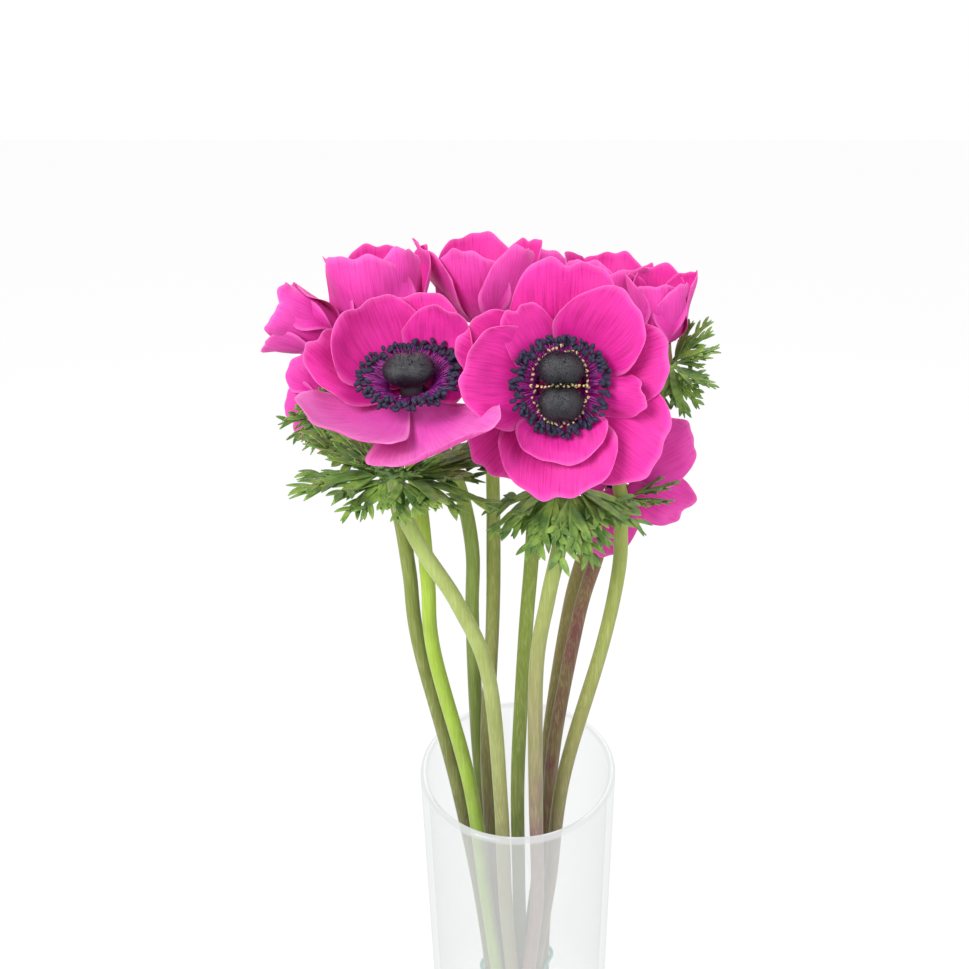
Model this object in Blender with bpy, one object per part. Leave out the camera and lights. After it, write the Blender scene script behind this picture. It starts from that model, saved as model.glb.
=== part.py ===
"""A bunch of ten anemones, held by a rubber band and standing in a clear glass cylinder vase.

The frame is the vase's: +Z is up and the origin is the middle of the vase's underside.
Lengths are written in millimetres and turned to metres where a mesh is made.
Each flower has a stem, a leafy collar on its neck, tepals and a centre.
"""

import math

import bpy
from mathutils import Matrix, Vector

MM = 0.001
GAP = 0.3  # between two pieces that touch on the real bunch
UP = Vector((0, 0, 1))

# Vase: a straight glass cylinder with a thick base
VASE_RADIUS = 50
VASE_HEIGHT = 200
VASE_WALL = 3.5
VASE_BASE = 12
VASE_EDGE = 0.8  # the small round on the rim and the foot
VASE_STEPS = 40

# Stems
STEM_RADIUS = 3.7
NECK_RADIUS = 3.0
STEM_STEPS = 21  # stretches along a stem, shorter towards the flower
BAND_HEIGHT = 44
FOOT_SPREAD = 1.08  # how far the cut ends stand apart, against the banded height
FOOT_HEIGHT = VASE_BASE + 0.5
BAND_THICKNESS = 2.2
BAND_STEPS = 30

# Flower, in its own frame: the stem ends at 0 and the flower faces +Z
RECEPTACLE_RADIUS = 5.0
RECEPTACLE_TOP = 6.4
HEART_NECK = 3.8
TEPAL_START = RECEPTACLE_RADIUS + GAP
TEPAL_THICKNESS = 0.9
OUTER_WHORL = 1.5  # height at which the outer tepals leave the receptacle
INNER_WHORL = 3.3
THIRD_WHORL = 5.1
CUP_FLOOR = 1.1  # height of the joined tepals of a flower at the back
STAMEN_REACH = 17
COLLAR_THICKNESS = 1.2
COLLAR_CLEARANCE = 1.0  # the neck bends inside it

# name: (route of the stem from the band up, where it meets the flower, the way the flower faces)
# The first point is where the stem crosses the band.
STEMS = {
    "front_right": ([(5, -8.6, 44), (10, -16, 120), (9, -24, 200), (9, -27, 280), (14, -28, 320),
                     (19, -29, 350), (20, -28, 378), (19, -28, 400)], (17.5, -41, 420), (-0.03, -0.94, 0.33)),
    "front_left": ([(-4, -8.8, 44), (-7, -17, 120), (-8, -26, 200), (-12, -32, 280), (-24, -34, 320),
                    (-38, -37, 350), (-46, -38, 375), (-43, -38, 395)], (-36, -43, 416), (-0.06, -0.36, 0.93)),
    "upper_left": ([(-8.4, 8.8, 44), (-16, 10, 120), (-21, 12, 200), (-22, 13, 280), (-21, 14, 320),
                    (-27, 15, 355), (-40, 13, 385), (-50, 9, 406)], (-53, 9, 421), (-0.05, 0.1, 1)),
    "far_left": ([(-12.6, -8.4, 44), (-18, -11, 120), (-24, -14, 200), (-38, -14, 280), (-39, -14, 320),
                  (-41, -12, 360), (-47, -8, 390), (-56, -5, 412)], (-70, -4, 427), (-0.9, 0, 0.43)),
    "low_left": ([(-17.2, 0.4, 44), (-23, -2, 120), (-33, -4, 200), (-46, -6, 280), (-48, -7, 320),
                  (-51, -9, 355), (-59, -9, 380), (-68, -6, 394)], (-77, 6, 396), (-0.45, 0.85, -0.25)),
    "centre_back": ([(-8.3, 0, 44), (-13, 1, 120), (-16, 2, 200), (-12, 10, 280), (-11, 15, 320),
                     (-11, 20, 360), (-13, 26, 395)], (-14, 30, 423), (0, 0.15, 1)),
    "back": ([(0.5, 0, 44), (0, -4, 120), (0, -7, 200), (4, 0, 280), (7, 6, 320), (9, 14, 360),
              (12, 28, 385), (13, 42, 400)], (13, 58, 409), (0, 0.85, 0.5)),
    "right_back": ([(4.8, 8.8, 44), (12, 14, 120), (16, 17, 200), (26, 25, 280), (36, 33, 320),
                    (40, 37, 360), (39, 35, 390)], (38, 33, 416), (0.1, 0.1, 0.98)),
    "far_right": ([(13.8, 8, 44), (16, 6, 120), (18, 6, 200), (30, 15, 280), (39, 23, 312),
                   (46, 30, 348), (52, 29, 374), (61, 13, 398)], (62, 9, 421), (-0.1, 0.05, 0.98)),
    "low_right": ([(9.8, 0, 44), (17, -5, 120), (23, -10, 200), (40, -8, 280), (46, -7, 320),
                   (46, -8, 342), (46, -4, 354)], (46, 8, 358), (0.1, 0.97, -0.2)),
}

# name: (way back along the stem from the flower, (direction, rise, length) of each bract)
# Directions are in degrees about the stem, with 0 to +X and 90 to +Y on an upright one.
COLLARS = {
    "front_right": (54, [(200, -35, 36), (275, -45, 30), (340, -20, 34)]),
    "front_left": (42, [(178, 0, 34), (262, -10, 20), (0, 4, 44)]),
    "upper_left": (20, [(20, 60, 24), (95, 50, 16), (165, 55, 12)]),
    "far_left": (13, [(110, 15, 14), (180, 15, 14), (250, 15, 14)]),
    "low_left": (14, [(150, 5, 18), (205, 5, 22), (275, 5, 16)]),
    "centre_back": (28, [(20, 35, 18), (140, 35, 18), (260, 35, 18)]),
    "back": (18, [(60, 20, 16), (150, 20, 18), (260, 20, 14)]),
    "right_back": (24, [(350, 30, 16), (70, 30, 16), (250, 35, 18)]),
    "far_right": (9, [(5, 20, 24), (70, 10, 18), (300, -25, 24)]),
    "low_right": (15, [(0, 10, 20), (190, 0, 16), (285, 10, 12)]),
}

# name: (elevation of the tepals at their base, at their tip, radius of the centre, length of each tepal)
# Tepals are listed from the flower's right, against the clock.
COROLLAS = {
    "upper_left": (44, 94, 6, [42, 42, 42, 42, 42]),
    "far_left": (60, 88, 4, [28, 28, 26, 26, 28]),
    "low_left": (35, 62, 6, [20, 26, 34, 34, 28]),
    "centre_back": (30, 92, 9, [42, 44, 44, 42, 40]),
    "back": (20, 60, 10, [36, 36, 36, 36, 36]),
    "right_back": (46, 90, 8, [35, 38, 38, 38, 36]),
    "far_right": (58, 88, 4, [30, 32, 30, 28, 28]),
    "low_right": (4, 34, 7, [15, 26, 34, 34, 34]),
}

# whorl: (direction of each tepal in degrees, length, width, elevation at its base, elevation at its tip)
# 0 is to the flower's right and 90 is its top.
TEPALS = {
    "front_right": {
        "outer": [(18, 40, 30, 2, 14), (90, 39, 36, 2, 14), (160, 30, 28, 2, 36), (234, 38, 34, 0, 8),
                  (308, 42, 34, 0, 10)],
        "inner": [(54, 36, 28, 10, 34), (122, 35, 24, 10, 34), (188, 27, 26, 14, 50), (266, 39, 30, 5, 24),
                  (345, 30, 18, 10, 40)],
        "third": [(275, 25, 22, 8, 40)],
    },
    "front_left": {
        "outer": [(20, 23, 20, 0, 54), (95, 38, 32, 0, 70), (165, 38, 26, 0, 60), (235, 36, 34, 0, 60),
                  (303, 35, 30, 0, 56)],
        "inner": [(62, 32, 24, 2, 84), (130, 36, 24, 2, 84)],
    },
}


def clear_scene():
    for obj in list(bpy.data.objects):
        bpy.data.objects.remove(obj)


def material(name, color, roughness, metallic=0.0, alpha=1.0):
    made = bpy.data.materials.new(name)
    made.use_nodes = True
    shader = made.node_tree.nodes["Principled BSDF"]
    shader.inputs["Base Color"].default_value = (*color, 1)
    shader.inputs["Roughness"].default_value = roughness
    shader.inputs["Metallic"].default_value = metallic
    shader.inputs["Alpha"].default_value = alpha
    return made


def add_mesh(name, points, faces, finish):
    """A mesh object from points in millimetres."""
    mesh = bpy.data.meshes.new(name)
    mesh.from_pydata([Vector(p) * MM for p in points], [], faces)
    mesh.shade_smooth()
    obj = bpy.data.objects.new(name, mesh)
    obj.data.materials.append(finish)
    bpy.context.scene.collection.objects.link(obj)
    return obj


def add_tube(name, points, radii, finish, cyclic=False):
    """A round tube along the points, with a radius at each."""
    curve = bpy.data.curves.new(name, "CURVE")
    curve.dimensions = "3D"
    curve.bevel_depth = MM
    curve.bevel_resolution = 1
    curve.use_fill_caps = not cyclic
    line = curve.splines.new("POLY")
    line.points.add(len(points) - 1)
    line.use_cyclic_u = cyclic
    line.use_smooth = True
    for spot, point, radius in zip(line.points, points, radii):
        spot.co = (*(Vector(point) * MM), 1)
        spot.radius = radius
    obj = bpy.data.objects.new(name, curve)
    obj.data.materials.append(finish)
    bpy.context.scene.collection.objects.link(obj)
    return obj


def thicken(obj, thickness):
    solid = obj.modifiers.new("Thickness", "SOLIDIFY")
    solid.thickness = thickness * MM
    solid.offset = 0
    return obj


def smooth_route(points, steps):
    """Points along a Catmull-Rom curve through the given ones, closer together towards its end."""
    knots = [Vector(p) for p in points]
    knots = [2 * knots[0] - knots[1], *knots, 2 * knots[-1] - knots[-2]]
    fine = []
    for a, b, c, d in zip(knots, knots[1:], knots[2:], knots[3:]):
        for i in range(12):
            t = i / 12
            fine.append(0.5 * (2 * b + (c - a) * t + (2 * a - 5 * b + 4 * c - d) * t**2
                               + (3 * b - a - 3 * c + d) * t**3))
    fine.append(knots[-2])
    lengths = running_lengths(fine)
    shares = [1 - (1 - i / steps) ** 1.5 for i in range(steps + 1)]
    return [at_length(fine, lengths, lengths[-1] * share) for share in shares]


def at_length(points, lengths, wanted):
    """The point this far along a line whose running lengths are given."""
    for i in range(1, len(points)):
        if lengths[i] >= wanted:
            share = (wanted - lengths[i - 1]) / max(lengths[i] - lengths[i - 1], 1e-9)
            return points[i - 1].lerp(points[i], share)
    return points[-1].copy()


def running_lengths(points):
    """How far along the line each of its points lies."""
    lengths = [0]
    for a, b in zip(points, points[1:]):
        lengths.append(lengths[-1] + (b - a).length)
    return lengths


def stem_points(name, steps=STEM_STEPS):
    """A stem's centre line from its cut end on the vase's floor to the flower."""
    route, end, facing = STEMS[name]
    x, y, _ = route[0]
    foot = Vector((x * FOOT_SPREAD, y * FOOT_SPREAD, FOOT_HEIGHT))
    end = Vector(end)
    straight = Vector(facing).normalized()
    return smooth_route([foot, *route, end - 9 * straight, end - 4 * straight, end], steps)


def stem_radius(share):
    """The stem tapers from its cut end, at 0, to its neck, at 1."""
    return STEM_RADIUS + (NECK_RADIUS - STEM_RADIUS) * share**2


def flower_frame(name):
    """The matrix from a flower's own frame to the vase's, in millimetres."""
    _, end, facing = STEMS[name]
    z = Vector(facing).normalized()
    x = UP.cross(z) if abs(z.z) < 0.98 else Vector((1, 0, 0))
    x = (x - x.dot(z) * z).normalized()
    if abs(z.z) > 0.85:  # a flower that faces up has its top away from the front
        x = (Vector((1, 0, 0)) - z.x * z).normalized()
    return Matrix.Translation(Vector(end)) @ Matrix((x, z.cross(x), z)).transposed().to_4x4()


def spin(name, profile, steps, finish, frame=None):
    """A turned solid: the profile's (radius, height) points run from the axis round to the axis again."""
    frame = frame or Matrix.Identity(4)
    points = [frame @ Vector((0, 0, profile[0][1]))]
    for radius, height in profile[1:-1]:
        for i in range(steps):
            a = math.tau * i / steps
            points.append(frame @ Vector((radius * math.cos(a), radius * math.sin(a), height)))
    points.append(frame @ Vector((0, 0, profile[-1][1])))
    rings, last = len(profile) - 2, len(points) - 1
    faces = []
    for i in range(steps):
        j = (i + 1) % steps
        faces.append((0, 1 + j, 1 + i))
        for r in range(rings - 1):
            low, high = 1 + r * steps, 1 + (r + 1) * steps
            faces.append((low + i, low + j, high + j, high + i))
        top = 1 + (rings - 1) * steps
        faces.append((top + i, top + j, last))
    return add_mesh(name, points, faces, finish)


def spin_ring(name, profile, steps, finish, frame):
    """A turned ring: the profile is a closed outline clear of the axis."""
    points, faces, n = [], [], len(profile)
    for i in range(steps):
        a = math.tau * i / steps
        points += [frame @ Vector((r * math.cos(a), r * math.sin(a), h)) for r, h in profile]
    for i in range(steps):
        here, there = i * n, (i + 1) % steps * n
        for k in range(n):
            m = (k + 1) % n
            faces.append((here + k, there + k, there + m, here + m))
    return add_mesh(name, points, faces, finish)


def vase(finish):
    outer, inner, edge = VASE_RADIUS, VASE_RADIUS - VASE_WALL, VASE_EDGE
    profile = [(0, 0), (outer - edge, 0), (outer, edge), (outer, VASE_HEIGHT - edge),
               (outer - edge, VASE_HEIGHT), (inner + edge, VASE_HEIGHT), (inner, VASE_HEIGHT - edge),
               (inner, VASE_BASE + 4), (inner - 4, VASE_BASE), (0, VASE_BASE)]
    return spin("glass_vase", profile, VASE_STEPS, finish)


def band(finish):
    """The rubber band lies round the outermost stems."""
    stems = [Vector((*route[0][:2], 0)) for route, _, _ in STEMS.values()]
    reach = STEM_RADIUS + 1.5 * GAP + BAND_THICKNESS / 2
    points = []
    for i in range(BAND_STEPS):
        a = math.tau * i / BAND_STEPS
        away = Vector((math.cos(a), math.sin(a), 0))
        outermost = max(stems, key=lambda stem: stem.dot(away))
        points.append(outermost + reach * away + Vector((0, 0, BAND_HEIGHT)))
    return add_tube("rubber_band", points, [BAND_THICKNESS / 2] * len(points), finish, cyclic=True)


def stem(name, finish):
    points = stem_points(name)
    lengths = running_lengths(points)
    radii = [stem_radius(length / lengths[-1]) for length in lengths]
    return add_tube(f"stem_{name}", points, radii, finish)


def collar(name, finish):
    """Three bracts round the neck, grown together at their base."""
    back, bracts = COLLARS[name]
    line = stem_points(name, 60)
    lengths = running_lengths(line)
    middle = at_length(line, lengths, lengths[-1] - back)
    along = (at_length(line, lengths, lengths[-1] - back + 2) - middle).normalized()
    x = (Vector((1, 0, 0)) - along.x * along).normalized()
    frame = Matrix.Translation(middle) @ Matrix((x, along.cross(x), along)).transposed().to_4x4()
    hole = stem_radius(1 - back / lengths[-1]) + COLLAR_CLEARANCE
    spokes, rings = 18, (0, 0.4, 1)
    points = []
    for ring in rings:
        for i in range(spokes):
            a = math.tau * i / spokes
            reach, height = 3.5, 0.0
            for direction, rise, length in bracts:
                off = (a - math.radians(direction) + math.pi) % math.tau - math.pi
                share = max(0, math.cos(min(abs(off) * 2.2, math.pi / 2)))
                reach += (length - 3.5) * share * math.cos(math.radians(rise))
                height += length * share * math.sin(math.radians(rise))
            points.append(frame @ Vector(((hole + reach * ring) * math.cos(a),
                                          (hole + reach * ring) * math.sin(a), height * ring)))
    faces = []
    for ring in range(len(rings) - 1):
        for i in range(spokes):
            j, here, there = (i + 1) % spokes, ring * spokes, (ring + 1) * spokes
            faces.append((here + i, there + i, there + j, here + j))
    return thicken(add_mesh(f"collar_{name}", points, faces, finish), COLLAR_THICKNESS)


def arch(length, base, tip, steps):
    """The line that a tepal's middle follows: (way out, height) where its elevation turns from base to tip."""
    out, up, line = 0.0, 0.0, [(0.0, 0.0)]
    for i in range(steps):
        elevation = math.radians(base + (tip - base) * (i + 0.5) / steps)
        out += length / steps * math.cos(elevation)
        up += length / steps * math.sin(elevation)
        line.append((out, up))
    return line


def corolla(name, finish):
    """The tepals of a flower at the back, as one lobed cup with a closed bottom."""
    base, tip, _, lengths = COROLLAS[name]
    frame, lobes, rings = flower_frame(name), len(lengths), 4
    spokes, floor = 3 * lobes, RECEPTACLE_RADIUS
    points = [frame @ Vector((0, 0, CUP_FLOOR))]
    for ring in range(rings + 1):
        for i in range(spokes):
            a = math.tau * i / spokes
            near, share = lengths[i // 3], (i % 3) / 3
            beyond = lengths[(i // 3 + 1) % lobes]
            length = near + (beyond - near) * share - 9 * (ring / rings) ** 2 * math.sin(math.pi * share)
            out, up = arch(length * ring / rings, base, base + (tip - base) * ring / rings, 6)[-1]
            r = floor + out
            points.append(frame @ Vector((r * math.cos(a), r * math.sin(a), CUP_FLOOR + up)))
    faces = [(0, 1 + i, 1 + (i + 1) % spokes) for i in range(spokes)]
    for ring in range(rings):
        for i in range(spokes):
            j, here, there = (i + 1) % spokes, 1 + ring * spokes, 1 + (ring + 1) * spokes
            faces.append((here + i, there + i, there + j, here + j))
    return thicken(add_mesh(f"corolla_{name}", points, faces, finish), TEPAL_THICKNESS)


def centre(name, finish):
    """The dark centre of a flower at the back: the seed head with its stamens round it."""
    radius = COROLLAS[name][2]
    low = CUP_FLOOR + TEPAL_THICKNESS / 2 + GAP
    profile = [(0, low), (3, low), (0.75 * radius, low + 0.3 * radius), (radius, low + 0.6 * radius),
               (0.7 * radius, low + 0.8 * radius), (0.3 * radius, low + 1.1 * radius), (0, low + 1.15 * radius)]
    return spin(f"centre_{name}", profile, 12, finish, flower_frame(name))


def seed_head(name, finish):
    """The receptacle that carries the tepals, with the domed head of carpels above it."""
    neck, top = HEART_NECK, RECEPTACLE_TOP
    profile = [(0, GAP), (RECEPTACLE_RADIUS, GAP), (RECEPTACLE_RADIUS, top), (neck, top), (neck, top + 2.6),
               (8.2, top + 3.2), (9.3, top + 6), (8.6, top + 9), (6, top + 11.4), (0, top + 12.2)]
    return spin(f"seed_head_{name}", profile, 14, finish, flower_frame(name))


def stamens(name, finish):
    """The ring of stamens, as the space that it fills round the seed head."""
    inner, low, reach = HEART_NECK + GAP + 0.1, RECEPTACLE_TOP + 0.4, STAMEN_REACH
    profile = [(inner, low), (9.5, low + 0.6), (reach, low + 4), (reach + 1, low + 6.5), (reach - 3, low + 7.5),
               (10, low + 2.4), (inner, low + 1.6)]
    return spin_ring(f"stamens_{name}", profile, 20, finish, flower_frame(name))


def tepal_width(share):
    """How wide a tepal is along its length, as a share of its full width."""
    return 0.28 + 0.72 * math.sin(math.pi * min(1, 0.12 + 0.88 * share) ** 1.25) ** 0.8 if share < 1 else 0.3


def tepal(flower, whorl, number, shape, finish):
    """One tepal: a cupped sheet that leaves the receptacle and widens into a round end."""
    direction, length, width, base, tip = shape
    frame = flower_frame(flower) @ Matrix.Rotation(math.radians(direction), 4, "Z")
    height = {"outer": OUTER_WHORL, "inner": INNER_WHORL, "third": THIRD_WHORL}[whorl]
    rings, across = 5, 4
    points = []
    for i, (out, up) in enumerate(arch(length, base, tip, rings)):
        r = TEPAL_START + out
        half = min(width / 2 * tepal_width(i / rings), (r - 0.4) * math.tan(math.radians(33)))
        for k in range(across + 1):
            side = half * (2 * k / across - 1)
            bend = 0.012 * side * side * i / rings
            back = side * side / max(2 * r, 24)
            points.append(frame @ Vector((r - back * (0.6 if i == rings else 0.15), side, height + up + bend)))
    faces = []
    for i in range(rings):
        for k in range(across):
            here = i * (across + 1) + k
            faces.append((here, here + across + 1, here + across + 2, here + 1))
    name = f"tepal_{flower}_{whorl}_{number}"
    return thicken(add_mesh(name, points, faces, finish), TEPAL_THICKNESS)


def main():
    clear_scene()
    glass = material("clear_glass", (0.9, 0.92, 0.91), 0.05, alpha=0.35)
    rubber = material("teal_rubber", (0.2, 0.62, 0.55), 0.6)
    stalk = material("stalk", (0.24, 0.34, 0.1), 0.6)
    leaf = material("leaf", (0.1, 0.24, 0.05), 0.6)
    petal = material("petal", (0.8, 0.03, 0.42), 0.5)
    dark = material("seed_head", (0.02, 0.02, 0.04), 0.5)
    anther = material("stamen", (0.05, 0.01, 0.09), 0.6)
    vase(glass)
    band(rubber)
    for name in STEMS:
        stem(name, stalk)
        collar(name, leaf)
    for name in COROLLAS:
        corolla(name, petal)
        centre(name, dark)
    for name, whorls in TEPALS.items():
        seed_head(name, dark)
        stamens(name, anther)
        for whorl, shapes in whorls.items():
            for number, shape in enumerate(shapes, 1):
                tepal(name, whorl, number, shape, petal)


main()
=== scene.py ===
"""The looks of a bunch of ten anemones in a glass cylinder vase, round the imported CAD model.

The tables and functions hold millimetres, and Shape.piece turns them to metres. The lamps, camera and floor
are in metres.
"""

import math
import random

import bpy
from mathutils import Matrix, Vector, noise


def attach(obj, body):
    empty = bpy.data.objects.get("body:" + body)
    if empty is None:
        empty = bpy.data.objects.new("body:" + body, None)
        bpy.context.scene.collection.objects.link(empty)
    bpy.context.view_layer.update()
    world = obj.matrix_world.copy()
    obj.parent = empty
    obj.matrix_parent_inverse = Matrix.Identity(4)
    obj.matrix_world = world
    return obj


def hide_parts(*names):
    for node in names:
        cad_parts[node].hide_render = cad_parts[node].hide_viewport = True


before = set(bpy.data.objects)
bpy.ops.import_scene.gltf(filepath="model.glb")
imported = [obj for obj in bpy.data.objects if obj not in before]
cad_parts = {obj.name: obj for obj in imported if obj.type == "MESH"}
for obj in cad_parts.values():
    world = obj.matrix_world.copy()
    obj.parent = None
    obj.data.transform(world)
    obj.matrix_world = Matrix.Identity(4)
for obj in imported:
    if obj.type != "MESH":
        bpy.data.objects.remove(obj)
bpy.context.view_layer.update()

MM = 0.001
UP = Vector((0, 0, 1))
VASE_RADIUS, VASE_HEIGHT, VASE_WALL, VASE_BASE = 50, 200, 3.5, 12
STEM_RADIUS, NECK_RADIUS = 3.7, 3.0
BAND_HEIGHT, BAND_THICKNESS, BAND_GAP = 44, 2.2, 0.45
FOOT_SPREAD, FOOT_HEIGHT = 1.08, VASE_BASE + 0.5
TEPAL_START = 4.6  # how far from the flower's axis a tepal begins
WHORL_HEIGHT = {"outer": 1.5, "inner": 3.3, "third": 5.1}
COROLLA_HEIGHTS = (1.1, 2.0)  # a joined corolla's tepals lie over and under each other by turns
RECEPTACLE_TOP = 6.4
COLLAR_RADIUS, COLLAR_THICKNESS = 4.3, 0.75
FINE_ROUTE = 90  # points along a stem

# name: (route of the stem from the band up, where it meets the flower, the way the flower faces)
# The first point of a route is where the stem crosses the band, and the foot stands a little wider.
STEMS = {
    "front_right": ([(5, -8.6, 44), (10, -16, 120), (9, -24, 200), (9, -27, 280), (14, -28, 320),
                     (19, -29, 350), (20, -28, 378), (19, -28, 400)], (17.5, -41, 420), (-0.03, -0.94, 0.33)),
    "front_left": ([(-4, -8.8, 44), (-7, -17, 120), (-8, -26, 200), (-12, -32, 280), (-24, -34, 320),
                    (-38, -37, 350), (-46, -38, 375), (-43, -38, 395)], (-36, -43, 416),
                    (-0.06, -0.36, 0.93)),
    "upper_left": ([(-8.4, 8.8, 44), (-16, 10, 120), (-21, 12, 200), (-22, 13, 280), (-21, 14, 320),
                    (-27, 15, 355), (-40, 13, 385), (-50, 9, 406)], (-53, 9, 421), (-0.05, 0.1, 1)),
    "far_left": ([(-12.6, -8.4, 44), (-18, -11, 120), (-24, -14, 200), (-38, -14, 280), (-39, -14, 320),
                  (-41, -12, 360), (-47, -8, 390), (-56, -5, 412)], (-70, -4, 427), (-0.9, 0, 0.43)),
    "low_left": ([(-17.2, 0.4, 44), (-23, -2, 120), (-33, -4, 200), (-46, -6, 280), (-48, -7, 320),
                  (-51, -9, 355), (-59, -9, 380), (-68, -6, 394)], (-77, 6, 396), (-0.45, 0.85, -0.25)),
    "centre_back": ([(-8.3, 0, 44), (-13, 1, 120), (-16, 2, 200), (-12, 10, 280), (-11, 15, 320),
                     (-11, 20, 360), (-13, 26, 395)], (-14, 30, 423), (0, 0.15, 1)),
    "back": ([(0.5, 0, 44), (0, -4, 120), (0, -7, 200), (4, 0, 280), (7, 6, 320), (9, 14, 360),
              (12, 28, 385), (13, 42, 400)], (13, 58, 409), (0, 0.85, 0.5)),
    "right_back": ([(4.8, 8.8, 44), (12, 14, 120), (16, 17, 200), (26, 25, 280), (36, 33, 320),
                    (40, 37, 360), (39, 35, 390)], (38, 33, 416), (0.1, 0.1, 0.98)),
    "far_right": ([(13.8, 8, 44), (16, 6, 120), (18, 6, 200), (30, 15, 280), (39, 23, 312),
                   (46, 30, 348), (52, 29, 374), (61, 13, 398)], (62, 9, 421), (-0.1, 0.05, 0.98)),
    "low_right": ([(9.8, 0, 44), (17, -5, 120), (23, -10, 200), (40, -8, 280), (46, -7, 320),
                   (46, -8, 342), (46, -4, 354)], (46, 8, 358), (0.1, 0.97, -0.2)),
}

# name: (colour at the top, colour at the foot)
STEM_COLORS = {
    "front_right": ("#8da046", "#7c5560"), "front_left": ("#9cae5e", "#7a7448"),
    "upper_left": ("#7d943a", "#6c7a3c"), "far_left": ("#92ac2c", "#84a42c"),
    "low_left": ("#70802c", "#605c34"), "centre_back": ("#86963f", "#6c5a44"),
    "back": ("#778a2e", "#5f6e2c"), "right_back": ("#8a7e46", "#6c5a40"),
    "far_right": ("#6f3f3c", "#5d3836"), "low_right": ("#93a446", "#6f5c44"),
}

# name: (way back along the stem, (direction in degrees, rise in degrees, length) of each bract)
COLLARS = {
    "front_right": (54, [(196, -22, 38), (222, -50, 36), (262, -52, 34), (300, -48, 34), (338, -22, 36)]),
    "front_left": (37, [(150, 34, 34), (172, 22, 40), (198, 2, 40), (235, -14, 28), (300, -10, 26),
                        (340, 4, 40), (8, 22, 46), (262, 46, 26), (320, 48, 25), (205, 48, 26)]),
    "upper_left": (18, [(20, 60, 26), (95, 50, 18), (165, 55, 14)]),
    "far_left": (13, [(110, 15, 14), (180, 15, 15), (250, 15, 14)]),
    "low_left": (14, [(150, 5, 22), (205, 15, 27), (240, 12, 26), (275, 5, 18)]),
    "centre_back": (26, [(20, 40, 20), (140, 40, 20), (260, 40, 20)]),
    "back": (18, [(60, 20, 18), (150, 20, 20), (260, 20, 16)]),
    "right_back": (24, [(350, 30, 18), (70, 30, 18), (250, 35, 18)]),
    "far_right": (9, [(20, 52, 24), (355, 20, 22), (320, -8, 23), (290, -30, 25), (262, -50, 22)]),
    "low_right": (15, [(5, 18, 24), (330, -12, 22), (190, 0, 18), (285, 0, 14)]),
}

# Each tepal: (direction in degrees, length, width, elevation at its base, at its tip, cup, ruffle)
TEPALS = {
    "front_right": {
        "outer": [(20, 37, 32, 4, 22, 0.3, 1.2), (88, 41, 40, 2, 12, 0.25, 2.0),
                  (152, 37, 30, 2, 26, 0.2, 1.0), (226, 37, 34, 2, 10, 0.3, 1.2),
                  (322, 40, 42, 0, 14, 0.25, 1.4)],
        "inner": [(54, 37, 32, 10, 30, 0.7, 1.2), (122, 30, 20, 10, 34, 0.3, 0.8),
                  (172, 34, 37, 10, 38, 0.7, 1.2), (268, 37, 43, 8, 24, 0.5, 2.2),
                  (352, 28, 17, 14, 40, -1.4, 1.5)],
        "third": [(272, 25, 33, 8, 34, 0.6, 1.2)],
    },
    "front_left": {
        "outer": [(20, 25, 26, 0, 66, 0.5, 0.8), (95, 39, 42, 2, 72, 0.3, 1.8),
                  (158, 40, 34, 0, 54, 0.3, 1.8), (222, 46, 44, -18, 74, 0.5, 1.4),
                  (292, 46, 50, -22, 62, 0.3, 2.4)],
        "inner": [(50, 34, 34, 2, 104, 0.8, 1.0), (128, 38, 40, 2, 84, 0.6, 1.4)],
    },
}

# The same for the flowers at the sides and back, whose tepals are one piece
COROLLAS = {
    "upper_left": [(250, 43, 38, 40, 92, 1.2, 1.0), (310, 42, 26, 42, 96, 1.2, 1.0),
                   (30, 42, 30, 40, 92, 1.0, 1.0), (100, 42, 34, 40, 92, 1.0, 1.0),
                   (180, 41, 34, 40, 90, 1.0, 1.0)],
    "far_left": [(0, 27, 22, 56, 86, 1.5, 0.8), (72, 27, 22, 56, 86, 1.5, 0.8),
                 (144, 27, 24, 56, 82, 1.5, 0.8), (216, 27, 24, 56, 82, 1.5, 0.8),
                 (288, 28, 22, 52, 76, 1.5, 0.8)],
    "low_left": [(0, 20, 20, 35, 62, 0.6, 0.8), (72, 26, 24, 35, 62, 0.6, 0.8),
                 (140, 32, 28, 30, 60, 0.6, 0.8), (206, 34, 34, 26, 50, 0.8, 0.8),
                 (288, 26, 26, 35, 62, 0.6, 0.8)],
    "centre_back": [(252, 38, 34, 32, 90, 0.8, 1.2), (190, 43, 38, 28, 84, 0.8, 1.4),
                    (100, 45, 38, 30, 90, 0.8, 1.4), (30, 42, 34, 30, 92, 0.8, 1.2),
                    (320, 40, 34, 30, 92, 0.8, 1.2)],
    "back": [(a, 36, 34, 20, 58, 0.6, 1.2) for a in (18, 90, 162, 234, 306)],
    "right_back": [(10, 38, 34, 42, 84, 0.8, 1.2), (82, 39, 36, 42, 86, 0.8, 1.2),
                   (154, 38, 34, 44, 90, 0.8, 1.2), (226, 36, 32, 46, 92, 0.8, 1.2),
                   (298, 37, 34, 44, 88, 0.8, 1.2)],
    "far_right": [(170, 31, 20, 56, 88, 1.6, 0.6), (95, 31, 24, 56, 86, 1.6, 0.6),
                  (20, 29, 20, 56, 84, 1.6, 0.6), (245, 26, 22, 58, 92, 1.6, 0.6),
                  (310, 26, 20, 58, 90, 1.6, 0.6)],
    "low_right": [(0, 16, 18, 8, 30, 0.4, 0.8), (72, 27, 24, 4, 30, 0.4, 1.2),
                  (146, 35, 32, 2, 26, 0.4, 1.6), (206, 33, 28, 4, 30, 0.4, 1.8),
                  (284, 36, 30, 2, 26, 0.4, 1.2)],
}

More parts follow.
